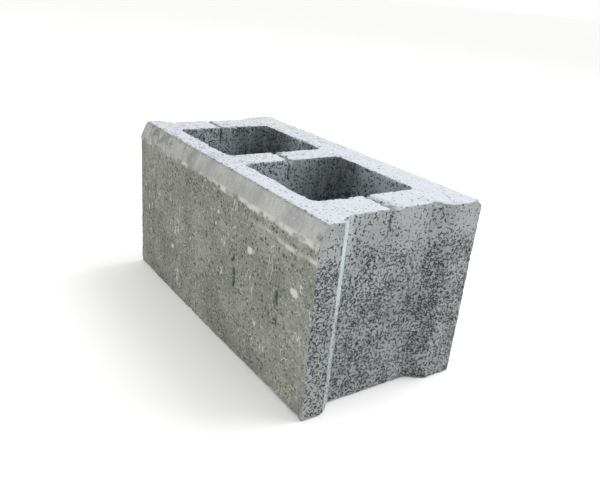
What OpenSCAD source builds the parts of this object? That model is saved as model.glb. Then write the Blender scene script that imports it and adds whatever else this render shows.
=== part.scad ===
// Two-core hollow concrete masonry block with recessed ends.
// The unit stands on its lower bed face. X runs along the length, Y through
// the thickness of the wall with the chamfered face at -Y, and Z points up.
// The origin is the centre of the bottom of the overall box.
//
// A pressed block has no loose pieces, so the model divides it into the
// parts that block makers name: two face shells and three webs. They meet
// face to face on two upright joint planes that run the length of the block.

/* [Overall] */
// Length of the block along the wall
block_l = 390; // [330:1:460]
// Thickness of the block through the wall
block_w = 190; // [160:1:230]
// Height of one course
block_h = 190; // [150:1:230]

/* [Shells and webs, measured at the top bed face] */
// Thickness of the face shell behind the chamfered face
front_shell_t = 31; // [26:0.5:36]
// Thickness of the plain face shell
rear_shell_t = 40; // [32:0.5:46]
// Thickness of the web between the two cores
centre_web_t = 35; // [28:0.5:42]
// Thickness of an end web, from the core to the floor of the end recess
end_web_t = 42; // [34:0.5:50]

/* [Cores] */
// Radius in the four upright corners of a core
core_fillet = 8; // [4:0.5:12]
// How far each core wall falls away between the top and the bottom
core_draft = 2.5; // [1:0.25:4]

/* [End recesses] */
// Depth of the recess in each end face
recess_depth = 12; // [8:0.5:16]
// Flat width of the end flange beside the chamfered face
front_flange_w = 25; // [20:0.5:30]
// Flat width of the end flange beside the plain face
rear_flange_w = 35; // [28:0.5:42]
// Width of the sloping side of the recess beside the chamfered face
front_slope_w = 14; // [8:0.5:17]
// Width of the sloping side of the recess beside the plain face
rear_slope_w = 19; // [12:0.5:23]

/* [Chamfer along the top of the face] */
// How far the chamfer reaches back over the top bed face
chamfer_back = 8; // [4:0.5:12]
// How far the chamfer reaches down the face
chamfer_drop = 19; // [12:0.5:26]

/* [Break groove across the top of each web] */
// Distance of the groove's front wall in front of the block's middle plane
groove_offset = 10; // [8:0.5:24]
// Width of the narrow slit
slit_w = 2; // [2:0.25:6]
// Depth of the narrow slit
slit_depth = 22; // [14:0.5:30]
// Width of the sloping shoulder behind the slit
shoulder_w = 6; // [3:0.5:9]
// Depth of the sloping shoulder
shoulder_depth = 7; // [4:0.5:10]

/* [Hidden] */

// How far a cutting shape runs past the face that it cuts.
past = 5;
// Thickness of the two plates that each core is blended between.
plate = 0.01;
// Facets round each corner post of a core.
corner_fn = 32;

half_l = block_l / 2;
half_w = block_w / 2;

// Walls of the cores at the top bed face.
core_front_y = -half_w + front_shell_t;
core_rear_y = half_w - rear_shell_t;
core_inner_x = centre_web_t / 2;
core_outer_x = half_l - recess_depth - end_web_t;
core_mid_x = (core_inner_x + core_outer_x) / 2;

// Joint planes between shells and webs. Each one clears the corner fillets
// of the cores and the sloping sides of the end recesses.
front_joint_y = max(core_front_y + core_fillet, -half_w + front_flange_w + front_slope_w);
rear_joint_y = min(core_rear_y - core_fillet, half_w - rear_flange_w - rear_slope_w);

groove_front_y = -groove_offset;
groove_rear_y = groove_front_y + slit_w + shoulder_w;

// Plan of the whole block with its two end recesses, seen from above.
module plan() {
    right_half = [
        [half_l, -half_w],
        [half_l, -half_w + front_flange_w],
        [half_l - recess_depth, -half_w + front_flange_w + front_slope_w],
        [half_l - recess_depth, half_w - rear_flange_w - rear_slope_w],
        [half_l, half_w - rear_flange_w],
        [half_l, half_w]
    ];
    last = len(right_half) - 1;
    left_half = [for (i = [0:last]) [-right_half[last - i][0], right_half[last - i][1]]];
    polygon(concat(right_half, left_half));
}

// One round corner post of a core plate. grow moves it outwards in X and Y.
module corner_post(x, y, z, grow) {
    sx = x > core_mid_x ? 1 : -1;
    sy = y > (core_front_y + core_rear_y) / 2 ? 1 : -1;
    post_x = x - sx * core_fillet + sx * grow;
    post_y = y - sy * core_fillet + sy * grow;
    translate([post_x, post_y, z])
        cylinder(r = core_fillet, h = plate, $fn = corner_fn);
}

// Space of the right-hand core, wider at the bottom than at the top. Its walls
// have one even slope, so they are carried on past both bed faces.
module right_core() {
    grow_past = core_draft * past / block_h;
    hull()
        for (x = [core_inner_x, core_outer_x], y = [core_front_y, core_rear_y]) {
            corner_post(x, y, block_h + past - plate, -grow_past);
            corner_post(x, y, -past, core_draft + grow_past);
        }
}

module cores() {
    right_core();
    mirror([1, 0, 0]) right_core();
}

// Wedge taken off the top of the chamfered face, all along the block.
module chamfer_wedge() {
    slope = chamfer_back / chamfer_drop;
    translate([-half_l - past, -half_w, block_h])
        rotate([90, 0, 90])
            linear_extrude(block_l + 2 * past)
                polygon([
                    [-past * slope - past, -chamfer_drop - past],
                    [-past * slope, -chamfer_drop - past],
                    [chamfer_back + past * slope, past],
                    [-past * slope - past, past]
                ]);
}

// Groove across the webs: a narrow slit with a sloping shoulder behind it.
module break_groove() {
    slope = shoulder_w / shoulder_depth;
    slit_rear_y = groove_front_y + slit_w;
    translate([-half_l - past, 0, block_h])
        rotate([90, 0, 90])
            linear_extrude(block_l + 2 * past)
                polygon([
                    [groove_front_y, -slit_depth],
                    [slit_rear_y, -slit_depth],
                    [slit_rear_y, -shoulder_depth],
                    [groove_rear_y + past * slope, past],
                    [groove_front_y, past]
                ]);
}

// The solid block between two Y planes and two X planes.
module slab(y_from, y_to, x_from = -block_l, x_to = block_l) {
    intersection() {
        linear_extrude(block_h) plan();
        translate([x_from, y_from, -past])
            cube([x_to - x_from, y_to - y_from, block_h + 2 * past]);
    }
}

// One web: a slab between the joint planes, cut by the cores and the groove.
module web(x_from, x_to) {
    difference() {
        slab(front_joint_y, rear_joint_y, x_from, x_to);
        cores();
        break_groove();
    }
}

module front_face_shell() {
    color("#9a9c95")
        difference() {
            slab(-block_w, front_joint_y);
            cores();
            chamfer_wedge();
        }
}

module rear_face_shell() {
    color("#a9aeb1")
        difference() {
            slab(rear_joint_y, block_w);
            cores();
        }
}

module left_end_web() {
    color("#a0a6a8") web(-block_l, -core_mid_x);
}

module centre_web() {
    color("#b4b9bd") web(-core_mid_x, core_mid_x);
}

module right_end_web() {
    color("#a0a6a8") web(core_mid_x, block_l);
}

front_face_shell();
rear_face_shell();
left_end_web();
centre_web();
right_end_web();
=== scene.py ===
import math

import bpy
import numpy as np
from mathutils import Matrix, Vector


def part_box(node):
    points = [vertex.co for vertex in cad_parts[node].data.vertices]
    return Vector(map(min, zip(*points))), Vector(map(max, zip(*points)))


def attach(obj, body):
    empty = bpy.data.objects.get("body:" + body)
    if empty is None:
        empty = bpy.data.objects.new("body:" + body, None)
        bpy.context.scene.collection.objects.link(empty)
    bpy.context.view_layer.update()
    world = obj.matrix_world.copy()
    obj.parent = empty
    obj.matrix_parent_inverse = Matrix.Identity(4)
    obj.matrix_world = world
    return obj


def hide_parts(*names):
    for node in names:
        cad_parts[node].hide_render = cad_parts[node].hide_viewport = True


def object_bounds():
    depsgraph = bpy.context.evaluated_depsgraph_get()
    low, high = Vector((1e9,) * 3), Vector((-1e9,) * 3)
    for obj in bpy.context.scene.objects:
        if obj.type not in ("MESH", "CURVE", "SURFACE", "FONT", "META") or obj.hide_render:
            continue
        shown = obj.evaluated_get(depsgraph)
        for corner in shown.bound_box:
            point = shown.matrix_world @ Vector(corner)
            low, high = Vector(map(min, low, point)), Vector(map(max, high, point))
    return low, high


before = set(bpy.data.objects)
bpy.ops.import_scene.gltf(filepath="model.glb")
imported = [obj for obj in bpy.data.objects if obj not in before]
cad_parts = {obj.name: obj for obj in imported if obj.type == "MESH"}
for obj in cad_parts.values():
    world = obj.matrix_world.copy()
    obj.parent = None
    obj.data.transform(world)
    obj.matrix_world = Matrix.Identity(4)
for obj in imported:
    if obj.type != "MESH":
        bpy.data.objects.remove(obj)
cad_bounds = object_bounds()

MM = 0.001

# ---------------------------------------------------------------- the block
# Overall box and joint planes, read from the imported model.
HALF_L, HALF_W, TOP = cad_bounds[1]
FRONT_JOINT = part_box("front_face_shell")[1][1]
REAR_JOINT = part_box("rear_face_shell")[0][1]
CORE_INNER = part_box("centre_web")[1][0]
CORE_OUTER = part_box("right_end_web")[0][0]
RECESS_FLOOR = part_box("right_end_web")[1][0]

# Sizes that the boxes don't give.
CORE_FRONT = -HALF_W + 31 * MM
CORE_REAR = HALF_W - 40 * MM
CORE_DRAFT = 2.5 * MM
CORE_FILLET = 7 * MM
FRONT_FLANGE = 25 * MM
REAR_FLANGE = 35 * MM
CHAMFER_BACK = 8 * MM
CHAMFER_DROP = 19 * MM
CHAMFER_LOW = TOP - CHAMFER_DROP

# The break groove: its slit starts at one front plane, and the wet concrete has
# slumped back over it, so that its widths change along the block.
SLIT_FRONT = -10 * MM
SLIT_DEPTH = 22 * MM
GROOVE_X = np.array([-RECESS_FLOOR, -CORE_OUTER, -CORE_INNER, CORE_INNER, CORE_OUTER, RECESS_FLOOR])
SLIT_WIDTHS = np.array([1.6, 1.6, 1.4, 1.4, 1.6, 2.0]) * MM
SHOULDER_WIDTHS = np.array([1.5, 1.5, 2.5, 2.5, 6.5, 13.0]) * MM
SHOULDER_DEPTHS = np.array([2.5, 2.5, 3.0, 3.0, 4.5, 7.0]) * MM

# Mesh lines across each web, up the block, up the chamfer and through a shell.
END_WEB_CELLS = 30
CENTRE_WEB_CELLS = 26
ROWS = 128
CHAMFER_ROWS = 15
SHELL_CELLS = 24

# Mesh lines of a shell's inner face: down to the core's corner, round it, along
# the core wall and out along the flange's slope.
ROOT_CELLS = 3
ROUND_LINES = 7
WALL_CELLS = 76
FLANGE_CELLS = 13

# Mesh lines across a web's top: to the slit, down it, across its floor, up to the
# shoulder, up the shoulder, and on to the rear joint.
SECTION_CELLS = (42, 20, 3, 14, 9, 44)

# Sharpest arris that a pressed block keeps, and the places where it is knocked
# off: the centre of each knock and its reach, in millimetres.
ARRIS = 1.2 * MM
KNOCKS = (
    ((196, 97, 192), 5.8), ((186, 46, 193), 6.5), ((196, 52, 192), 4.4), ((185, -98, -2), 6.5),
    ((-196, 97, 192), 5.0), ((-197, -97, -2), 6.0), ((197, 40, -2), 6.0), ((-120, 97, 191), 4.5),
    ((60, 98, -2), 7.0), ((140, -97, -3), 6.0), ((-40, -98, -3), 6.5), ((141, -30, 193), 5.0),
    ((-13, -8, 192), 5.2), ((3, -8, 192), 3.6), ((19, -9, 191), 6.0), ((20, -9, 177), 3.4),
    ((189, -62, 194), 6.5), ((-60, -66, 193), 5.0), ((-60, 57, 193), 5.0), ((-141, 10, 192), 4.0),
    ((190, -92, 179), 3.2), ((188, 62, 192), 3.6), ((184, -8, 192), 3.4), ((20, 30, 193), 5.2),
)

# Upright fissures in the face (X, top and bottom), and the pale stones that show
# in it (X, Z and radius), in millimetres.
FISSURES = ((56, 108, 73), (138, 106, 72), (-150, 120, 104))
STONES = ((87, 126, 3.6), (165, 117, 4.0), (-95, 60, 2.6), (20, 142, 2.2))

# Farther than anything on the block, in metres.
FAR = 1.0


# ------------------------------------------------------------ random fields
# Large primes and bit shifts that mix the lattice numbers and the seed.
PLACE_PRIMES = (73856093, 19349663, 83492791)
SEED_PRIME = 26544357
MIXES = ((15, 2246822519), (13, 3266489917), (16, 668265263))
LAST_SHIFT = 15
WORD = np.int64(0xFFFFFFFF)
SEED_STEP = 7


def hashed(ix, iy, iz, seed):
    """A repeatable number from 0 to 1 for each lattice point: the three integer
    coordinates and the seed times large primes, mixed by shifts and products."""
    h = (ix * PLACE_PRIMES[0]) ^ (iy * PLACE_PRIMES[1]) ^ (iz * PLACE_PRIMES[2])
    h = (h ^ (seed * SEED_PRIME)) & WORD
    for shift, prime in MIXES:
        h = ((h ^ (h >> shift)) * prime) & WORD
    return (h ^ (h >> LAST_SHIFT)) / float(WORD)


def noise(p, size, seed):
    """Smooth noise from -1 to 1: random values on a lattice of that size, blended
    between the eight corners of each cell with the weight 3t^2 - 2t^3."""
    q = p / size
    cell = np.floor(q).astype(np.int64)
    t = q - cell
    t = t * t * (3 - 2 * t)
    total = np.zeros(len(p))
    for dx in (0, 1):
        wx = t[:, 0] if dx else 1 - t[:, 0]
        for dy in (0, 1):
            wy = t[:, 1] if dy else 1 - t[:, 1]
            for dz in (0, 1):
                wz = t[:, 2] if dz else 1 - t[:, 2]
                corner = hashed(cell[:, 0] + dx, cell[:, 1] + dy, cell[:, 2] + dz, seed)
                total += wx * wy * wz * corner
    return 2 * total - 1


def fractal(p, size, seed, octaves=3):
    """Noise of that size plus octaves of half the size and half the height."""
    total = np.zeros(len(p))
    reach = 0.0
    for k in range(octaves):
        total += noise(p, size / 2**k, seed + SEED_STEP * k) / 2**k
        reach += 1 / 2**k
    return total / reach


def grain(p, size, seed):
    """Distance to the nearest and to the second nearest grain centre, in grain
    sizes. Each lattice cell holds one centre at a random place."""
    q = p / size
    cell = np.floor(q).astype(np.int64)
    best = np.full(len(p), np.inf)
    second = np.full(len(p), np.inf)
    for dx in (-1, 0, 1):
        for dy in (-1, 0, 1):
            for dz in (-1, 0, 1):
                ix, iy, iz = cell[:, 0] + dx, cell[:, 1] + dy, cell[:, 2] + dz
                away = np.sqrt(
                    (ix + hashed(ix, iy, iz, seed) - q[:, 0]) ** 2
                    + (iy + hashed(ix, iy, iz, seed + 1) - q[:, 1]) ** 2
                    + (iz + hashed(ix, iy, iz, seed + 2) - q[:, 2]) ** 2
                )
                nearer = away < best
                second = np.where(nearer, best, np.minimum(second, away))
                best = np.where(nearer, away, best)
    return best, second


def ramp(x, low, high):
    """0 below low, 1 above high and a smooth rise between them."""
    t = np.clip((x - low) / (high - low), 0, 1)
    return t * t * (3 - 2 * t)


def near(x, surface, full, none):
    """0 while x is farther below a surface than the distance none, 1 from the
    distance full onwards, both in millimetres, and a smooth rise between them."""
    return ramp(x, surface - none * MM, surface - full * MM)


# ------------------------------------------------------- the block as depths
def behind(a, b, first, second):
    """Distance behind the line through two points of a section, positive to the
    left of the way from the first point to the second."""
    da, db = second[0] - first[0], second[1] - first[1]
    return (da * (b - first[1]) - db * (a - first[0])) / np.hypot(da, db)


def core_depth(p):
    """Distance outside the two cores: the distance to a rectangle with round
    corners, mirrored in X, whose half sizes grow towards the bottom."""
    grow = CORE_DRAFT * (1 - p[:, 2] / TOP)
    mid_x, mid_y = (CORE_INNER + CORE_OUTER) / 2, (CORE_FRONT + CORE_REAR) / 2
    out_x = np.abs(np.abs(p[:, 0]) - mid_x) - (CORE_OUTER - mid_x + grow - CORE_FILLET)
    out_y = np.abs(p[:, 1] - mid_y) - (CORE_REAR - mid_y + grow - CORE_FILLET)
    outside = np.hypot(np.maximum(out_x, 0), np.maximum(out_y, 0))
    return outside + np.minimum(np.maximum(out_x, out_y), 0) - CORE_FILLET


def recess_sides(p):
    """Distances behind the floor and behind the two sloping sides of the recess
    in each end."""
    x, y = np.abs(p[:, 0]), p[:, 1]
    front = behind(y, x, (FRONT_JOINT, RECESS_FLOOR), (-HALF_W + FRONT_FLANGE, HALF_L))
    rear = behind(y, x, (HALF_W - REAR_FLANGE, HALF_L), (REAR_JOINT, RECESS_FLOOR))
    return RECESS_FLOOR - x, front, rear


def chamfer_depth(p):
    """Distance behind the chamfer's plane."""
    return behind(p[:, 1], p[:, 2], (-HALF_W + CHAMFER_BACK, TOP), (-HALF_W, CHAMFER_LOW))


def groove_widths(x):
    """Slit width, shoulder width and shoulder depth of the groove at X."""
    return [np.interp(x, GROOVE_X, sizes) for sizes in (SLIT_WIDTHS, SHOULDER_WIDTHS, SHOULDER_DEPTHS)]


# The slit sways by so much over such a length, long and short, and loses this
# share of its width by its floor. It stops this far short of the joints.
LONG_SWAY = 0.9 * MM
LONG_LENGTH = 9 * MM
SHORT_SWAY = 0.5 * MM
SHORT_LENGTH = 3 * MM
SLIT_TAPER = 0.6
JOINT_MARGIN = 1.42 * MM


def groove_depth(p):
    """Distance outside the break groove: the smaller of the distances to the slit,
    which narrows downwards and wanders, and to the shoulder behind it."""
    slit_width, shoulder_width, shoulder_depth = groove_widths(p[:, 0])
    wander = LONG_SWAY * fractal(p, LONG_LENGTH, seed=31) + SHORT_SWAY * noise(p, SHORT_LENGTH, seed=32)
    y, z = p[:, 1] + wander, p[:, 2]
    narrow = SLIT_TAPER * slit_width * np.clip((TOP - z) / SLIT_DEPTH, 0, 1)
    rear = SLIT_FRONT + slit_width
    slit_y = np.maximum(SLIT_FRONT - y, y - rear + narrow)
    slit_z = TOP - SLIT_DEPTH - z
    slit = np.hypot(np.maximum(slit_y, 0), np.maximum(slit_z, 0))
    slit += np.minimum(np.maximum(slit_y, slit_z), 0)
    shoulder = behind(y, z, (rear + shoulder_width, TOP), (rear, TOP - shoulder_depth))
    shoulder = np.maximum(shoulder, np.maximum(rear - y, TOP - shoulder_depth - z))
    inside_web = (p[:, 1] > FRONT_JOINT + JOINT_MARGIN) & (p[:, 1] < REAR_JOINT - JOINT_MARGIN)
    return np.where(inside_web, np.minimum(slit, shoulder), FAR)


# How ragged a knocked-off place is, and the size of its lumps.
KNOCK_ROUGH = 1.2 * MM
KNOCK_LUMP = 4 * MM


def knock_depth(p):
    """Distance outside the knocked-off places: ragged balls."""
    nearest = np.full(len(p), FAR)
    rough = KNOCK_ROUGH * noise(p, KNOCK_LUMP, seed=21)
    for centre, reach in KNOCKS:
        away = np.linalg.norm(p - np.array(centre) * MM, axis=1)
        nearest = np.minimum(nearest, away - reach * MM + rough)
    return nearest


# What an arris loses: coarse and fine crumbs and long chips, each as a radius and
# a length, the level above which noise leaves a chip, the shares of the crumbs
# that arrises keep low down and round the centre web, and the wear of the foot.
COARSE_CRUMB = 2.6 * MM
COARSE_LENGTH = 4.4 * MM
FINE_CRUMB = 2.4 * MM
FINE_LENGTH = 2.5 * MM
CHIP = 9 * MM
CHIP_LENGTH = 26 * MM
CHIP_LEVEL = 0.33
LOW_CRUMBS = 0.4
CENTRE_CRUMBS = 0.5
FOOT_WEAR = 4.0 * MM
FOOT_END_REST = 0.7


def arris_radius(p):
    """How round the arrises are at each place: nearly sharp, crumbled a little
    everywhere, broken away in a few spots, and worn along the lower front arris
    towards the right-hand end."""
    x, y, z = p.T
    crumble = COARSE_CRUMB * np.maximum(noise(p, COARSE_LENGTH, seed=11), 0)
    crumble += FINE_CRUMB * np.maximum(noise(p, FINE_LENGTH, seed=12), 0)
    crumble *= LOW_CRUMBS + (1 - LOW_CRUMBS) * near(z, TOP, full=5, none=9)
    off_web = ramp(np.abs(x), CORE_INNER + 2 * MM, CORE_INNER + 6 * MM)
    crumble *= CENTRE_CRUMBS + (1 - CENTRE_CRUMBS) * off_web
    chips = CHIP * np.maximum(fractal(p, CHIP_LENGTH, seed=13) - CHIP_LEVEL, 0)
    foot = ramp(x, 0, 150 * MM) * (1 - FOOT_END_REST * ramp(x, 165 * MM, 190 * MM))
    foot *= near(-y, HALF_W, full=8, none=20)
    wear = FOOT_WEAR * foot * (1 - ramp(z, 8 * MM, 20 * MM))
    return ARRIS + crumble + chips + wear


def solid_depth(p, radius):
    """Depth inside the whole block with round arrises: the radius less the length
    of the vector of what each face's depth lacks to the radius."""
    x, y, z = np.abs(p[:, 0]), p[:, 1], p[:, 2]
    recess = np.maximum.reduce(recess_sides(p))
    faces = (TOP - z, z, np.minimum(y + HALF_W, chamfer_depth(p)), HALF_W - y, HALF_L - x,
             core_depth(p), recess, groove_depth(p), knock_depth(p))
    lacks = sum(np.maximum(radius - depth, 0) ** 2 for depth in faces)
    return radius - np.sqrt(lacks)


def slope(p, radius):
    """Gradient of solid_depth by central differences: it points into the block."""
    reach = 0.2 * MM
    columns = []
    for axis in range(3):
        shift = np.zeros(3)
        shift[axis] = reach
        rise = solid_depth(p + shift, radius) - solid_depth(p - shift, radius)
        columns.append(rise / (2 * reach))
    return np.stack(columns, 1)


# --------------------------------------------------------------- the meshes
def gathered(count, share):
    """Values from 0 to 1 whose spacing is tighter at both ends: an even run less
    a share of one turn of a sine."""
    t = np.linspace(0, 1, count + 1)
    return t - share * np.sin(2 * np.pi * t) / (2 * np.pi)


LEVELS = TOP * gathered(ROWS, share=0.2)
THROUGH = gathered(SHELL_CELLS, share=0.5)


def box_surface(nu, nv, nw):
    """The surface of a lattice of nu x nv x nw cells: the integer coordinates of
    each surface point, the quads, turned outwards, and each quad's side."""
    index = -np.ones((nu + 1, nv + 1, nw + 1), np.int64)
    u, v, w = np.meshgrid(range(nu + 1), range(nv + 1), range(nw + 1), indexing="ij")
    skin = (u == 0) | (u == nu) | (v == 0) | (v == nv) | (w == 0) | (w == nw)
    index[skin] = np.arange(skin.sum())
    points = np.stack([u[skin], v[skin], w[skin]], 1)
    quads, sides = [], []
    for axis in range(3):
        for end in (0, -1):
            sheet = np.take(index, end, axis=axis)
            ring = [sheet[:-1, :-1], sheet[1:, :-1], sheet[1:, 1:], sheet[:-1, 1:]]
            if (end == 0) != (axis == 1):
                ring = ring[::-1]
            quads.append(np.stack([corner.ravel() for corner in ring], 1))
            sides.append(np.full(len(quads[-1]), 2 * axis - end))
    return points, np.concatenate(quads), np.concatenate(sides)


def line(start, end, count):
    """Points on a straight line, without its end."""
    t = np.linspace(0, 1, count, endpoint=False)[:, None]
    return np.array(start) + (np.array(end) - np.array(start)) * t


def shell_inner_path(z, side):
    """Plan of a shell's inner face at height z for every mesh line, from the left
    end to the right end: flange, web root, quarter round, core wall and back.
    side is -1 for the front shell and 1 for the rear one."""
    joint = FRONT_JOINT if side < 0 else REAR_JOINT
    flange = -HALF_W + FRONT_FLANGE if side < 0 else HALF_W - REAR_FLANGE
    grow = CORE_DRAFT * (1 - z / TOP)
    wall = (CORE_FRONT if side < 0 else CORE_REAR) + side * grow
    inner, outer = CORE_INNER - grow, CORE_OUTER + grow
    bend = wall - side * CORE_FILLET
    turn = np.linspace(0, np.pi / 2, ROUND_LINES)
    rounding = CORE_FILLET * np.stack([1 - np.cos(turn), side * np.sin(turn)], 1)
    half = np.concatenate([
        line((0, joint), (inner, joint), CENTRE_WEB_CELLS // 2),
        line((inner, joint), (inner, bend), ROOT_CELLS),
        (rounding + (inner, bend))[:-1],
        line((inner + CORE_FILLET, wall), (outer - CORE_FILLET, wall), WALL_CELLS),
        (rounding * (-1, 1) + (outer, bend))[:0:-1],
        line((outer, bend), (outer, joint), ROOT_CELLS),
        line((outer, joint), (RECESS_FLOOR, joint), END_WEB_CELLS),
        line((RECESS_FLOOR, joint), (HALF_L, flange), FLANGE_CELLS),
        [(HALF_L, flange)],
    ])
    return np.concatenate([half[:0:-1] * (-1, 1), half])


def shell_points(lattice, counts, side):
    """A face shell: each point lies between the inner face, a plan path carried up
    Z, and the outer face, whose upper end leans back over the chamfer."""
    nu, nv, nw = counts
    u, v, w = lattice.T
    paths = np.stack([shell_inner_path(z, side) for z in LEVELS])
    inner = np.column_stack([paths[w, u], LEVELS[w]])
    run = np.linalg.norm(np.diff(paths[-1], axis=0), axis=1)
    along = np.concatenate([[0], np.cumsum(run)]) / run.sum()
    outer_x = HALF_L * (2 * along[u] - 1)
    outer_y = np.full(len(u), side * HALF_W)
    outer_z = LEVELS[w]
    if side < 0:
        lean = np.maximum(w - nw + CHAMFER_ROWS, 0) / CHAMFER_ROWS
        upright = np.minimum(w / (nw - CHAMFER_ROWS), 1)
        outer_z = CHAMFER_LOW * upright + CHAMFER_DROP * lean
        outer_y = -HALF_W + CHAMFER_BACK * lean
    outer = np.column_stack([outer_x, outer_y, outer_z])
    share = THROUGH[v if side > 0 else nv - v]
    return inner + (outer - inner) * share[:, None]


def web_section(x):
    """Bottom line (Y) and top line (Y, Z) of a web at X: the top line goes down
    the slit's front wall, across its floor and up its rear wall and shoulder."""
    slit_width, shoulder_width, shoulder_depth = groove_widths(x)
    rear = SLIT_FRONT + slit_width
    floor = TOP - SLIT_DEPTH
    corners = [
        (FRONT_JOINT, TOP), (SLIT_FRONT, TOP), (SLIT_FRONT, floor), (rear, floor),
        (rear, TOP - shoulder_depth), (rear + shoulder_width, TOP), (REAR_JOINT, TOP),
    ]
    top = [line(a, b, n) for a, b, n in zip(corners, corners[1:], SECTION_CELLS)]
    bottom = np.concatenate([
        np.linspace(FRONT_JOINT, SLIT_FRONT, sum(SECTION_CELLS[:2]), endpoint=False),
        np.linspace(SLIT_FRONT, rear, SECTION_CELLS[2], endpoint=False),
        np.linspace(rear, REAR_JOINT, sum(SECTION_CELLS[3:]) + 1),
    ])
    return bottom, np.concatenate(top + [[corners[-1]]])


def web_points(lattice, counts, faces):
    """A web: each point lies between two upright faces, which are ruled from an
    even line at the bottom to a line that dips into the groove at the top.
    faces gives the X of the two upright faces at a height."""
    nu, nv, nw = counts
    u, v, w = lattice.T
    share = (u / nu)[:, None]
    low, high = (web_section(x) for x in faces(TOP))
    foot = low[0][v] + (high[0][v] - low[0][v]) * share[:, 0]
    bottom = np.column_stack([foot, np.zeros(len(v))])
    top = low[1][v] + (high[1][v] - low[1][v]) * share
    section = bottom + (top - bottom) * (LEVELS[w] / TOP)[:, None]
    x_low, x_high = faces(section[:, 1])
    return np.column_stack([x_low + (x_high - x_low) * u / nu, section])


# -------------------------------------------------------------- the weather
# The lip of paste under the chamfer: how far it hangs down, how its edge sways
# and ripples along the face, and how thin its smear is at the left-hand end.
LIP_DROP = 2.6 * MM
LIP_SWAY = 1.6 * MM
LIP_RIPPLE = 1.2 * MM
THIN_SMEAR = 0.28

# The second ridge: how far below the chamfer it runs, how it drifts up and down,
# how tall it is to each side, and its height as a share of the lip's.
RIDGE_DROP = 15 * MM
RIDGE_DRIFT = 2.5 * MM
RIDGE_REACH = 2.4 * MM
RIDGE_SHARE = 0.8

# How far the rest of the face lies behind the lip, and how far back from the
# face's plane its fissures and stones reach.
FACE_SINK = 0.9 * MM
FACE_SKIN = 6 * MM


def face_relief(p):
    """How far the face lies behind its own plane, and where it is smeared: a lip
    under the chamfer, a second ridge below it that grows to the right, and the
    rest lower than both."""
    x, z = p[:, 0], p[:, 2]
    along = p * (1, 0, 0)
    sway = LIP_SWAY * noise(along, 45 * MM, seed=61) + LIP_RIPPLE * noise(along, 7 * MM, seed=62)
    edge = CHAMFER_LOW - LIP_DROP - sway
    lip = ramp(z, edge - 1.5 * MM, edge + 0.5 * MM)
    drift = RIDGE_DRIFT * noise(along, 30 * MM, seed=63)
    ridge = np.exp(-((z - CHAMFER_LOW + RIDGE_DROP - drift) / RIDGE_REACH) ** 2)
    ridge *= ramp(x, 50 * MM, 150 * MM) * ramp(noise(p, 10 * MM, seed=64), low=-0.7, high=0.1)
    to_right = ramp(x + 60 * MM * noise(along, 20 * MM, seed=65), -150 * MM, 60 * MM)
    thick = THIN_SMEAR + (1 - THIN_SMEAR) * to_right
    under_chamfer = 1 - ramp(z, CHAMFER_LOW + 0.5 * MM, CHAMFER_LOW + 2.5 * MM)
    smear = np.maximum(thick * lip * under_chamfer, ridge)
    return FACE_SINK * (1 - np.maximum(lip, RIDGE_SHARE * ridge)), smear


# A fissure: how far it wanders to each side, its half width where it is full and
# where it has gone, and how far its tips fade.
FISSURE_WANDER = 2.4 * MM
FISSURE_FULL = 1.5 * MM
FISSURE_GONE = 3.2 * MM
FISSURE_FADE = 3 * MM


def fissure_mask(p):
    """Where the upright fissures are: a wandering line broken into short runs."""
    mask = np.zeros(len(p))
    wander = FISSURE_WANDER * noise(p * (0, 0, 1), 9 * MM, seed=71)
    broken = ramp(noise(p, 4.5 * MM, seed=72), low=-0.35, high=0.05)
    for x, top, bottom in FISSURES:
        across = 1 - ramp(np.abs(p[:, 0] - x * MM - wander), FISSURE_FULL, FISSURE_GONE)
        above_foot = ramp(p[:, 2], bottom * MM - FISSURE_FADE, bottom * MM + FISSURE_FADE)
        past_tip = ramp(p[:, 2], top * MM - FISSURE_FADE, top * MM + FISSURE_FADE)
        mask = np.maximum(mask, across * above_foot * (1 - past_tip) * broken)
    return mask * (p[:, 1] < -HALF_W + FACE_SKIN)


# A pale stone: how much a distance in X and in Z counts, how ragged its outline
# is and how soft, in millimetres.
STONE_STRETCH = (0.62, 0.85)
STONE_ROUGH = 1.0
STONE_SOFT = 1.0


def stone_mask(p):
    """Where a pale stone shows in the face: a ragged disc."""
    mask = np.zeros(len(p))
    rough = STONE_ROUGH * MM * noise(p, 4 * MM, seed=75)
    for x, z, radius in STONES:
        away_x = STONE_STRETCH[0] * (p[:, 0] - x * MM)
        away_z = STONE_STRETCH[1] * (p[:, 2] - z * MM)
        away = np.hypot(away_x, away_z) + rough
        mask = np.maximum(mask, 1 - ramp(away, (radius - STONE_SOFT) * MM, radius * MM))
    return mask * (p[:, 1] < -HALF_W + FACE_SKIN)


# How squarely a surface faces one way where a zone begins and where it is full.
SQUARE_ON = {"low": 0.6, "high": 0.9}
# The pale bed paste fades out over a narrow range of tilt, so the groove's sloping shoulders and the rounded
# arrises of the top take the darker end paste: painted shade where they turn from the light.
LEVEL = {"low": 0.84, "high": 0.96}
ASLANT = {"low": 0.35, "high": 0.55}

# How strong the painted shade is low down in a core (it is full against its
# rear corners), and how much of the front slope's pale paste spreads to the end
# beside it as a painted highlight.
LOW_CORE_SHADE = 0.85
SLOPE_GLOW_SPREAD = 0.55


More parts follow.
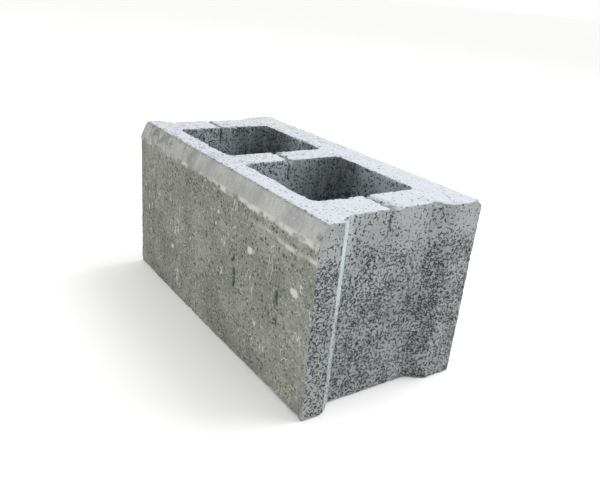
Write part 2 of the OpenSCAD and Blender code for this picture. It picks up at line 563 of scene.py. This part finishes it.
def zones(p, out):
    """Where the finish changes, and where shade and light are painted, from the place
    and the outward direction, as masks from 0 to 1: the outer faces, the chamfer
    band, the bed and its rim, the cores and the painted shade low in them and in
    their corners, and the recess's front and rear slopes, the front one's pale
    paste partly a painted highlight."""
    x, y, z = p.T
    sides = recess_sides(p)
    front = ramp(-out[:, 1], **SQUARE_ON) * near(-y, HALF_W, full=6, none=12)
    rear = ramp(out[:, 1], **SQUARE_ON) * near(y, HALF_W, full=2, none=6)
    band = front * ramp(z, CHAMFER_LOW + 0.3 * MM, CHAMFER_LOW + 1.6 * MM)
    bed = ramp(out[:, 2], **LEVEL) * near(z, TOP, full=2, none=7)
    inland = np.minimum.reduce([chamfer_depth(p), core_depth(p), np.maximum.reduce(sides)])
    rim = bed * (1 - ramp(inland + 2.5 * MM * noise(p, 7 * MM, seed=53), 0.5 * MM, 5 * MM))

    core = near(-core_depth(p), 0, full=1, none=4) * (1 - bed)
    # Painted shade: darker low down in each core and towards its rear left corner.
    left_wall = np.where(x < 0, -CORE_OUTER, CORE_INNER)
    to_corner = np.hypot(x - left_wall, y - CORE_REAR)
    low_core_shade = LOW_CORE_SHADE * ramp(TOP - z, 25 * MM, 115 * MM)
    core_shade = core * np.maximum(low_core_shade, 1 - ramp(to_corner, 20 * MM, 85 * MM))

    floor, front_side, rear_side = sides
    off_bed = (1 - bed) * (y < 0)
    slant = ramp(out[:, 1], **ASLANT) * (front_side > floor + 0.3 * MM)
    slant *= off_bed * (1 - core) * (np.abs(x) > RECESS_FLOOR - 1 * MM)
    # Painted highlight: the lit front slope's pale paste fades onto the end beside its foot, near the top.
    beside = 1 - ramp(y - FRONT_JOINT + 2 * MM * noise(p, 9 * MM, seed=54), 0, 7 * MM)
    beside *= near(z, TOP, full=8, none=62) * off_bed * (np.abs(x) > RECESS_FLOOR - 2 * MM)
    slant = np.maximum(slant, SLOPE_GLOW_SPREAD * beside * (y > FRONT_JOINT - 1 * MM))
    lee = ramp(-out[:, 1], **ASLANT) * (rear_side > floor + 0.3 * MM) * (y > 0)
    return {"front": front, "rear": rear, "band": band, "bed": bed, "rim": rim, "core": core,
            "core_shade": core_shade, "slant": slant, "lee": lee}


# How open the mix is at the ends and in the cores: at the top, and what it gains
# down the block, in broad clouds and in small patches.
END_MIX = (0.22, 0.40, 0.22, 0.36)
CORE_MIX = (0.34, 0.36, 0.25, 0.30)

# What else opens it: a belt across the ends, the recess's rear slope and the left
# core, and on the bed the rim, and at the far end the whole of it.
BELT = 0.13
BELT_DROP = 85 * MM
BELT_REACH = 38 * MM
LEE_GAIN = 0.35
LEFT_CORE = 0.20
BED_RIM = 0.14
FAR_BED = 0.24
FAR_RIM = 0.12
FAR_PATCH = 0.30

# How far the smeared slope is shut at the top, and what it loses of that lower
# down.
SLANT_SHUT = 0.97
SLANT_LOSS = 0.62


def mixed(shares, down, cloud, patchy):
    """Openness of a mix: its share at the top, plus its shares of the way down, of
    the clouds and of the patches."""
    top, deeper, cloudy, patched = shares
    return top + deeper * down + cloudy * cloud + patched * patchy


def mix_openness(p, zone):
    """How open the mix is, from 0 to 1: it opens downwards at the ends and in the
    cores, and is shut on the outer faces, on the bed's near end and on the
    smeared slope."""
    x, z = p[:, 0], p[:, 2]
    core, bed, rim = zone["core"], zone["bed"], zone["rim"]
    cloud = fractal(p, 24 * MM, seed=51)
    patchy = fractal(p, 14 * MM, seed=52)
    below = TOP - z + 14 * MM * cloud
    ends = mixed(END_MIX, ramp(below, 8 * MM, 62 * MM), cloud, patchy)
    ends += BELT * np.exp(-((TOP - z - BELT_DROP) / BELT_REACH) ** 2)
    cores = mixed(CORE_MIX, ramp(below, 15 * MM, 90 * MM), cloud, patchy)
    cores += LEFT_CORE * (x < -CORE_INNER)
    openness = ends * (1 - core) * (1 + LEE_GAIN * zone["lee"]) + core * cores
    openness = np.clip(openness, 0, 1) * (1 - zone["front"]) * (1 - zone["rear"]) * (1 - bed)
    openness *= 1 - zone["slant"] * (SLANT_SHUT - SLANT_LOSS * ramp(TOP - z, 45 * MM, 115 * MM))
    far_end = 1 - ramp(x + 40 * MM * cloud, -60 * MM, 110 * MM)
    far_bed = far_end * (FAR_BED + FAR_RIM * rim + FAR_PATCH * patchy)
    return openness + (BED_RIM * rim + far_bed) * bed


# Rounds in which the points settle, how close to the groove they are drawn on to
# its walls, and the least steepness and length that are divided by.
SETTLE_ROUNDS = 3
GROOVE_REACH = 1.6 * MM
LEAST_STEEP = 0.05
LEAST_LENGTH = 1e-6


def settled(p, radius):
    """The points moved to the round arrises: each one outside the block steps down
    the slope of its depth, and those beside the groove step on to its walls."""
    for _ in range(SETTLE_ROUNDS):
        depth = solid_depth(p, radius)
        way = slope(p, radius)
        steep = np.maximum((way**2).sum(1), LEAST_STEEP)
        beside_groove = (np.abs(groove_depth(p)) < GROOVE_REACH) & (depth < GROOVE_REACH)
        pull = np.where(beside_groove, depth, np.minimum(depth, 0))
        p = p - way * (pull / steep)[:, None]
    return p


# How deep the surface is sunk by grains, pits, sand, broad swells and fissures,
# and how much of the grain each zone has lost to the mould.
GRAIN_DEPTH = 0.35 * MM
PIT_DEPTH = 1.1 * MM
SAND_DEPTH = 0.12 * MM
SWELL_DEPTH = 0.2 * MM
FISSURE_DEPTH = 1.5 * MM
PLAIN_OUTER = 0.75
PLAIN_BED = 0.55
PLAIN_SLANT = 0.9
PLAIN_BAND = 0.9
SANDLESS_BAND = 0.8

# The rear face shows the outer finish less strongly than the front one.
REAR_FACE = 0.7

# The masks that the material reads: the outer faces, the chamfer band, the bed and
# its rim, the cores and the painted shade low in them and in their corners, the
# recess's front slope with its painted highlight, how open the mix is, the sunk pits
# and their painted shade, the smeared lip and ridge, the fissures and the stones.
MASKS = ("face", "band", "bed", "rim", "core", "deep", "slant", "open", "pit", "smear", "fissure", "stone")


def weather(p):
    """Turns the clean shape into a pressed and handled one. Points near an arris
    sink to its round surface, and then every surface point moves in by the
    height of the grains and pits. Returns the points and the painting masks."""
    radius = arris_radius(p)
    p = settled(p, radius)
    way = slope(p, radius)
    out = -way / np.maximum(np.linalg.norm(way, axis=1), LEAST_LENGTH)[:, None]
    skin = 1 - ramp(solid_depth(p, radius), 0.3 * MM, 1.0 * MM)
    zone = zones(p, out)
    front, rear, band, bed, slant = (zone[key] for key in ("front", "rear", "band", "bed", "slant"))
    openness = mix_openness(p, zone)
    relief, smear = face_relief(p)
    fissure = fissure_mask(p)

    nearest, next_one = grain(p, 4.2 * MM, seed=41)
    gap = 1 - ramp(next_one - nearest, low=0.05, high=0.30)
    pit = gap * ramp(noise(p, 5 * MM, seed=43), low=-0.1, high=0.3) * ramp(openness, low=0.25, high=0.75)
    plain = np.maximum.reduce([
        PLAIN_OUTER * (front + rear), PLAIN_BED * bed, PLAIN_SLANT * slant, PLAIN_BAND * band])
    height = GRAIN_DEPTH * np.minimum(nearest, 1) * (1 - plain) + PIT_DEPTH * pit
    height += SAND_DEPTH * (1 + noise(p, 2.8 * MM, seed=45)) * (1 - SANDLESS_BAND * band)
    height += SWELL_DEPTH * (1 + fractal(p, 30 * MM, seed=44))
    height += front * relief + FISSURE_DEPTH * fissure
    p = p - out * (height * skin)[:, None]
    paint = (front + REAR_FACE * rear, band, bed, zone["rim"], zone["core"], zone["core_shade"], slant,
             openness, pit * skin, smear * front, fissure, stone_mask(p))
    return p, dict(zip(MASKS, paint))


def make_piece(name, node, counts, place, joints):
    """A finished piece: a lattice box carried to its place and weathered, with its
    masks as attributes. The sides named in joints lie against a neighbour, and
    are kept out of the smooth shading."""
    lattice, quads, sides = box_surface(*counts)
    points, masks = weather(place(lattice))
    mesh = bpy.data.meshes.new(name)
    mesh.from_pydata(points.tolist(), [], quads.tolist())
    mesh.polygons.foreach_set("use_smooth", ~np.isin(sides, joints))
    for mask, values in masks.items():
        mesh.attributes.new(mask, "FLOAT", "POINT").data.foreach_set("value", values.astype(np.float32))
    mesh.update()
    piece = bpy.data.objects.new(name, mesh)
    bpy.context.scene.collection.objects.link(piece)
    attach(piece, "root")
    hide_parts(node)
    return piece


# ------------------------------------------------------------- the material
# Tints of the cement paste: bluish grey at the ends, where the mould slid, and in
# the cores, pale on the bed and on the recess's front slope, where the pale paste is
# partly a painted highlight, warm on the outside.
END_PASTE = "979b9b"
CORE_PASTE = "a6afb2"
BED_PASTE = "c0c4ca"
SLANT_PASTE_AND_HIGHLIGHT = "b9c0c4"
FACE_PASTE = "9b9c93"
BAND_PASTE = "b6b6b2"

# Tints of what lies in or on the paste everywhere.
RICH_CLOUD = "6f7371"
DARK_SAND = "5b5f5e"
PALE_SAND = "e4e6e6"
PALE_STONE = "c9c8be"
# Painted shade in the sunk pits.
PAINTED_PIT_SHADE = "34383a"
FISSURE_SHADE = "2c3030"
HOLLOW = "262b2d"

# Tints in the cores, among them the painted shade low down and in their corners,
# on the chamfer band and on the outer faces.
PAINTED_CORE_SHADE = "3a3f41"
DRAG = "c3cbce"
STRUCK = "6c6c69"
GREASE = "7e7f7d"
SCUFF = "565755"
FACE_CLOUD = "65685f"
FACE_BLOTCH = "575b57"
FACE_LEFT = "5f625b"
FINE_GRIT = "3b3f40"
BLACK_GRIT = "303435"
GREY_GRIT = "44484a"
PALE_GRIT = "cdcabb"
OCHRE_GRIT = "ada178"
LIME = "d6d6d0"
SMEARED_PASTE = "cfcfca"

# Settings shared by many nodes: a product, a sum of a product and a third value,
# a smooth step between two levels, and a step that falls from 1 to 0.
PRODUCT = {"operation": "MULTIPLY"}
PRODUCT_SUM = {"operation": "MULTIPLY_ADD"}
SMOOTH = {"interpolation_type": "SMOOTHSTEP"}
FALLING = {"To Min": 1.0, "To Max": 0.0}

# Sockets of a colour mix, which share their names with those of other mixes.
FACTOR = 0
UNDER = 6
OVER = 7
MIXED = 2


def colour(code):
    """Linear RGBA of an sRGB hex colour."""
    parts = [int(code[i:i + 2], 16) / 255 for i in (0, 2, 4)]
    return [c / 12.92 if c <= 0.04045 else ((c + 0.055) / 1.055) ** 2.4 for c in parts] + [1.0]


def add(tree, kind, inputs=None, out=0, **settings):
    """Adds a node with its settings and links. inputs gives its sockets, by name or
    number, a value or another node's output. Returns the output asked for."""
    node = tree.nodes.new("ShaderNode" + kind)
    for name, value in settings.items():
        setattr(node, name, value)
    for place, value in (inputs or {}).items():
        if isinstance(value, bpy.types.NodeSocket):
            tree.links.new(value, node.inputs[place])
        else:
            node.inputs[place].default_value = value
    return node.outputs[out] if node.outputs else None


def stain(tree, base, masks, strength, tint):
    """Lays a tint over the base colour where all the masks are, at a strength."""
    amount = strength
    for mask in masks:
        amount = add(tree, "Math", {0: mask, 1: amount}, **PRODUCT)
    return add(tree, "Mix", {FACTOR: amount, UNDER: base, OVER: colour(tint)}, out=MIXED, data_type="RGBA")


def clouds(tree, place, size_mm, low, high, detail=2.0):
    """Soft patches of that size: noise cut between two levels."""
    fog = add(tree, "TexNoise", {"Vector": place, "Scale": 1 / (size_mm * MM), "Detail": detail})
    return add(tree, "MapRange", {"Value": fog, "From Min": low, "From Max": high}, **SMOOTH)


# Worm pores: the size of the grains and of what warps and breaks the gaps between
# them, how far these are warped, and the openness at which they are kept.
GRAINS_MM = 2.8
WARP_MM = 3.0
WARP = (3.8 * MM, 3.8 * MM, 3.8 * MM)
BREAK_MM = 2.9
OPENING = 0.25


def worm_pores(tree, place, openness):
    """Short bent gaps, under 1 mm wide, between grains: the edges of warped cells,
    broken up by a finer noise. More of them stay where the mix is open."""
    warp = add(tree, "TexNoise", {"Vector": place, "Scale": 1 / (WARP_MM * MM), "Detail": 1.0}, out="Color")
    bent = add(tree, "VectorMath", {0: warp, 1: WARP, 2: place}, **PRODUCT_SUM)
    cells = {"Vector": bent, "Scale": 1 / (GRAINS_MM * MM)}
    edge = add(tree, "TexVoronoi", cells, feature="DISTANCE_TO_EDGE")
    gap = add(tree, "MapRange", {"Value": edge, "From Min": 0.07, "From Max": 0.21, **FALLING}, **SMOOTH)
    broken = add(tree, "TexNoise", {"Vector": place, "Scale": 1 / (BREAK_MM * MM), "Detail": 1.5})
    lift = add(tree, "Math", {0: openness, 1: OPENING, 2: broken}, **PRODUCT_SUM)
    kept = add(tree, "MapRange", {"Value": lift, "From Min": 0.63, "From Max": 0.68}, **SMOOTH)
    return add(tree, "Math", {0: gap, 1: kept}, **PRODUCT)


# A speck is full up to this share of its radius.
SPECK_HEART = 0.6


def specks(tree, place, size_mm, radius, share, shift):
    """Round specks: one in each cell of that size, kept in a share of the cells.
    radius is a share of the cell, and shift sets one crop apart from another."""
    shifted = add(tree, "VectorMath", {0: place, 1: (shift, 0, 0)}, operation="ADD")
    sockets = {"Vector": shifted, "Scale": 1 / (size_mm * MM)}
    away = add(tree, "TexVoronoi", sockets)
    tone = add(tree, "TexVoronoi", sockets, out="Color")
    lot = add(tree, "SeparateColor", {"Color": tone})
    outline = {"Value": away, "From Min": radius * SPECK_HEART, "From Max": radius, **FALLING}
    spot = add(tree, "MapRange", outline, **SMOOTH)
    kept = add(tree, "Math", {0: lot, 1: share}, operation="LESS_THAN")
    return add(tree, "Math", {0: spot, 1: kept}, **PRODUCT)


def pressed_concrete(name):
    """Semi-dry pressed concrete: matt cement paste over 3 to 5 mm grit, open where
    the grit bridges, so the eye sees grains with black gaps between them, a
    closed pale bed face and a smeared warm outer face."""
    material = bpy.data.materials.new(name)
    material.use_nodes = True
    tree = material.node_tree
    tree.nodes.clear()
    place = add(tree, "TexCoord", out="Object")
    zone = {mask: add(tree, "Attribute", out="Fac", attribute_name=mask) for mask in MASKS}
    off_face, off_band, off_bed = (
        add(tree, "Math", {0: 1.0, 1: zone[mask]}, operation="SUBTRACT") for mask in ("face", "band", "bed"))
    face = add(tree, "Math", {0: zone["face"], 1: off_band}, **PRODUCT)
    x = add(tree, "SeparateXYZ", {"Vector": place})
    leftwards = {"Value": x, "From Min": -160 * MM, "From Max": 60 * MM, "To Min": 1.0, "To Max": 0.2}
    to_left = add(tree, "MapRange", leftwards, **SMOOTH)
    inwards = {"Value": x, "From Min": 120 * MM, "From Max": 200 * MM, "To Min": 1.0, "To Max": 0.62}
    off_right_end = add(tree, "MapRange", inwards, **SMOOTH)

    # Cement paste, zone by zone.
    base = stain(tree, colour(END_PASTE), [zone["core"]], strength=1.0, tint=CORE_PASTE)
    base = stain(tree, base, [zone["bed"]], strength=1.0, tint=BED_PASTE)
    # The front slope's pale paste is partly smooth paste and partly a painted highlight, which also spreads
    # onto the end beside it.
    base = stain(tree, base, [zone["slant"]], strength=0.90, tint=SLANT_PASTE_AND_HIGHLIGHT)
    base = stain(tree, base, [zone["face"]], strength=1.0, tint=FACE_PASTE)
    base = stain(tree, base, [zone["band"]], strength=1.0, tint=BAND_PASTE)

    # Cement-rich clouds, and 1.5 to 2 mm sand showing through.
    rich = clouds(tree, place, size_mm=42, low=0.42, high=0.68, detail=3.0)
    dark_sand = clouds(tree, place, size_mm=1.5, low=0.40, high=0.75)
    pale_sand = clouds(tree, place, size_mm=1.9, low=0.56, high=0.80)
    base = stain(tree, base, [rich, off_bed], strength=0.30, tint=RICH_CLOUD)
    base = stain(tree, base, [dark_sand], strength=0.16, tint=DARK_SAND)
    base = stain(tree, base, [pale_sand], strength=0.30, tint=PALE_SAND)

    # Painted shade low in the cores and in their corners, and upright drag streaks there.
    core_shade = clouds(tree, place, size_mm=45, low=0.20, high=0.48, detail=4.0)
    upright = add(tree, "Mapping", {"Vector": place, "Scale": (1.0, 1.0, 0.06)})
    drag = clouds(tree, upright, size_mm=3.5, low=0.45, high=0.75)
    base = stain(tree, base, [core_shade, zone["deep"]], strength=0.66, tint=PAINTED_CORE_SHADE)
    base = stain(tree, base, [drag, zone["core"]], strength=0.20, tint=DRAG)

    # Streaks across the chamfer, where the wet band was struck, and grease, scuffs
    # and grit towards its left end.
    across = add(tree, "Mapping", {"Vector": place, "Scale": (1.0, 0.16, 0.16)})
    struck = clouds(tree, across, size_mm=2.0, low=0.46, high=0.70)
    long_scuff = clouds(tree, across, size_mm=3.2, low=0.50, high=0.62, detail=3.0)
    broad_scuff = clouds(tree, place, size_mm=12, low=0.48, high=0.64, detail=4.0)
    band_grit = specks(tree, place, size_mm=3.0, radius=0.34, share=0.30, shift=2.1)
    left_band = [zone["band"], to_left]
    base = stain(tree, base, [struck, zone["band"]], strength=0.20, tint=STRUCK)
    base = stain(tree, base, left_band, strength=0.24, tint=GREASE)
    base = stain(tree, base, [long_scuff] + left_band, strength=0.24, tint=SCUFF)
    base = stain(tree, base, [broad_scuff] + left_band, strength=0.50, tint=SCUFF)
    base = stain(tree, base, [band_grit] + left_band, strength=0.62, tint=BLACK_GRIT)

    # Clouds and blotches in the warm face, darker to the left.
    face_clouds = clouds(tree, place, size_mm=38, low=0.36, high=0.60, detail=4.0)
    blotches = clouds(tree, place, size_mm=5.0, low=0.40, high=0.62)
    base = stain(tree, base, [face_clouds, face], strength=0.34, tint=FACE_CLOUD)
    base = stain(tree, base, [blotches, face], strength=0.26, tint=FACE_BLOTCH)
    base = stain(tree, base, [face, to_left], strength=0.16, tint=FACE_LEFT)

    # Dark and pale grit in it, the coarse grit in broad drifts.
    drifts = [face, clouds(tree, place, size_mm=16, low=0.32, high=0.54, detail=3.0), off_right_end]
    fine = specks(tree, place, size_mm=2.2, radius=0.52, share=0.46, shift=0.0)
    black = specks(tree, place, size_mm=4.4, radius=0.42, share=0.50, shift=0.2)
    grey = clouds(tree, place, size_mm=2.6, low=0.54, high=0.66)
    pale = specks(tree, place, size_mm=3.0, radius=0.42, share=0.20, shift=0.5)
    ochre = specks(tree, place, size_mm=6.0, radius=0.24, share=0.10, shift=0.9)
    base = stain(tree, base, [fine, face], strength=0.52, tint=FINE_GRIT)
    base = stain(tree, base, [black] + drifts, strength=0.80, tint=BLACK_GRIT)
    base = stain(tree, base, [grey] + drifts, strength=0.50, tint=GREY_GRIT)
    base = stain(tree, base, [pale, face], strength=0.45, tint=PALE_GRIT)
    base = stain(tree, base, [ochre, face], strength=0.55, tint=OCHRE_GRIT)

    # The smeared lip and ridge over the grit, and the pale stones.
    smeared = clouds(tree, place, size_mm=14, low=0.30, high=0.60)
    base = stain(tree, base, [smeared, zone["smear"]], strength=0.80, tint=SMEARED_PASTE)
    base = stain(tree, base, [zone["stone"]], strength=0.90, tint=PALE_STONE)

    # White lime scratches on the face: thin contours of a tall noise, fewer on the
    # rear face.
    tall = add(tree, "Mapping", {"Vector": place, "Scale": (1.0, 1.0, 0.3)})
    contour = add(tree, "TexNoise", {"Vector": tall, "Scale": 1 / (9 * MM), "Detail": 1.0})
    scratch = add(tree, "Math", {0: contour, 1: 0.5, 2: 0.012}, operation="COMPARE")
    limed = clouds(tree, place, size_mm=20, low=0.60, high=0.66, detail=0.0)
    facing = {"Value": zone["face"], "From Min": 0.72, "From Max": 0.95, "To Min": 0.25, "To Max": 1.0}
    shown = add(tree, "MapRange", facing, **SMOOTH)
    base = stain(tree, base, [scratch, limed, face, shown], strength=0.60, tint=LIME)

    # Open pores and pinholes, nearly black because no light gets back out. Both are
    # shut on the outer faces, and the bed keeps its pinholes only along its rim.
    pores_left = add(tree, "Math", {0: zone["bed"], 1: -0.25, 2: off_face}, **PRODUCT_SUM)
    pores = add(tree, "Math", {0: worm_pores(tree, place, zone["open"]), 1: pores_left}, **PRODUCT)
    pinholes = specks(tree, place, size_mm=3.6, radius=0.22, share=0.30, shift=1.3)
    off_both = add(tree, "Math", {0: zone["bed"], 1: -0.92, 2: off_face}, **PRODUCT_SUM)
    pinholes_left = add(tree, "Math", {0: zone["rim"], 1: 0.20, 2: off_both}, use_clamp=True, **PRODUCT_SUM)
    pinholes = add(tree, "Math", {0: pinholes, 1: pinholes_left}, **PRODUCT)
    holes = add(tree, "Math", {0: pores, 1: pinholes}, operation="MAXIMUM")
    # Painted shade in the pits that the geometry sinks.
    base = stain(tree, base, [zone["pit"]], strength=0.28, tint=PAINTED_PIT_SHADE)
    base = stain(tree, base, [zone["fissure"]], strength=0.80, tint=FISSURE_SHADE)
    base = stain(tree, base, [holes], strength=0.90, tint=HOLLOW)

    # Sandy grain in the bump, and the pores sunk into it at twice its height.
    sand = add(tree, "TexNoise", {"Vector": place, "Scale": 1 / (1.2 * MM), "Detail": 2.0})
    sunk = add(tree, "Math", {0: holes, 1: -2.0, 2: sand}, **PRODUCT_SUM)
    normal = add(tree, "Bump", {"Strength": 0.7, "Distance": 0.7 * MM, "Height": sunk})
    shader = add(tree, "BsdfPrincipled", {
        "Base Color": base, "Roughness": 0.93, "IOR": 1.45, "Specular IOR Level": 0.2, "Normal": normal})
    add(tree, "OutputMaterial", {"Surface": shader})
    return material


# ------------------------------------------------------------------ pieces
def core_wall(z, x, way):
    """X of a core wall at height z: it leans away from the core towards the top."""
    return x + way * CORE_DRAFT * (1 - z / TOP)


# Each web's cells across it and the X of its two upright faces at a height, and
# each shell's side and look. A web's two upright joints are sides 2 and 3.
WEB_FACES = {
    "left_end_web": (END_WEB_CELLS, lambda z: (-RECESS_FLOOR + 0 * z, core_wall(z, -CORE_OUTER, -1))),
    "centre_web": (CENTRE_WEB_CELLS, lambda z: (core_wall(z, -CORE_INNER, 1), core_wall(z, CORE_INNER, -1))),
    "right_end_web": (END_WEB_CELLS, lambda z: (core_wall(z, CORE_OUTER, 1), RECESS_FLOOR + 0 * z)),
}
SHELLS = {"front_face_shell": (-1, "face_concrete"), "rear_face_shell": (1, "block_concrete")}
WEB_JOINTS = (2, 3)


def make_block():
    """The five finished pieces, all of one concrete."""
    concrete = pressed_concrete("pressed_concrete")
    section_cells = len(web_section(0.0)[0]) - 1
    path_cells = len(shell_inner_path(TOP, 1)) - 1
    pieces = []
    for node, (cells, faces) in WEB_FACES.items():
        counts = (cells, section_cells, ROWS)
        pieces.append(make_piece(node + "_finished", node, counts,
                                 lambda lattice: web_points(lattice, counts, faces), WEB_JOINTS))
    for node, (side, slot) in SHELLS.items():
        counts = (path_cells, SHELL_CELLS, ROWS)
        pieces.append(make_piece(node + "_finished", node, counts,
                                 lambda lattice: shell_points(lattice, counts, side), ()))
    for piece in pieces:
        piece.data.materials.append(concrete)


make_block()


# ------------------------------------------------------------- floor, light
# Half the side of the floor sheet, its tint, and where the lights point.
FLOOR_REACH = 60.0
FLOOR_PAPER = "fafaf9"
MIDDLE = (0, 0, 0.1)


def make_floor():
    """A plain pale sheet that the block stands on."""
    mesh = bpy.data.meshes.new("floor")
    corners = [(x * FLOOR_REACH, y * FLOOR_REACH, 0) for x, y in ((-1, -1), (1, -1), (1, 1), (-1, 1))]
    mesh.from_pydata(corners, [], [(0, 1, 2, 3)])
    floor = bpy.data.objects.new("floor", mesh)
    bpy.context.scene.collection.objects.link(floor)
    paper = bpy.data.materials.new("floor_paper")
    paper.use_nodes = True
    shader = paper.node_tree.nodes["Principled BSDF"]
    shader.inputs["Base Color"].default_value = colour(FLOOR_PAPER)
    shader.inputs["Roughness"].default_value = 0.9
    mesh.materials.append(paper)


def area_light(name, place, target, size, power, tint):
    """A square soft light at a place, turned to a target."""
    light = bpy.data.lights.new(name, "AREA")
    light.shape = "SQUARE"
    light.size = size
    light.energy = power
    light.color = colour(tint)[:3]
    lamp = bpy.data.objects.new(name, light)
    lamp.location = place
    lamp.rotation_euler = (Vector(target) - Vector(place)).to_track_quat("-Z", "Y").to_euler()
    bpy.context.scene.collection.objects.link(lamp)


make_floor()
area_light("key", (0.4, 1.7, 2.1), MIDDLE, size=2.2, power=54, tint="ffffff")
area_light("fill", (2.0, -1.6, 0.9), MIDDLE, size=1.6, power=3, tint="f4f8ff")
world = bpy.data.worlds.new("studio")
bpy.context.scene.world = world
world.use_nodes = True
world.node_tree.nodes["Background"].inputs["Color"].default_value = (1, 1, 1, 1)
world.node_tree.nodes["Background"].inputs["Strength"].default_value = 1.0


# ------------------------------------------------------------------- camera
# Where the camera stands and looks, how far it is turned, and its focal length in
# millimetres.
EYE = (0.5581, -0.3767, 0.3592)
TARGET = (0.0178, 0.0149, 0.0814)
ROLL = math.radians(5.51)
FOCAL_LENGTH = 37.5


def make_camera():
    """The camera stands off the near right-hand end, turned a little about its
    own axis, and looks at a point close to the middle of the block."""
    lens = bpy.data.cameras.new("camera")
    lens.lens = FOCAL_LENGTH
    lens.clip_start = 0.01
    camera = bpy.data.objects.new("camera", lens)
    look = (Vector(TARGET) - Vector(EYE)).to_track_quat("-Z", "Y").to_matrix().to_4x4()
    camera.matrix_world = Matrix.Translation(Vector(EYE)) @ look @ Matrix.Rotation(ROLL, 4, "Z")
    bpy.context.scene.collection.objects.link(camera)
    bpy.context.scene.camera = camera


make_camera()
bpy.context.scene.view_settings.view_transform = "Standard"
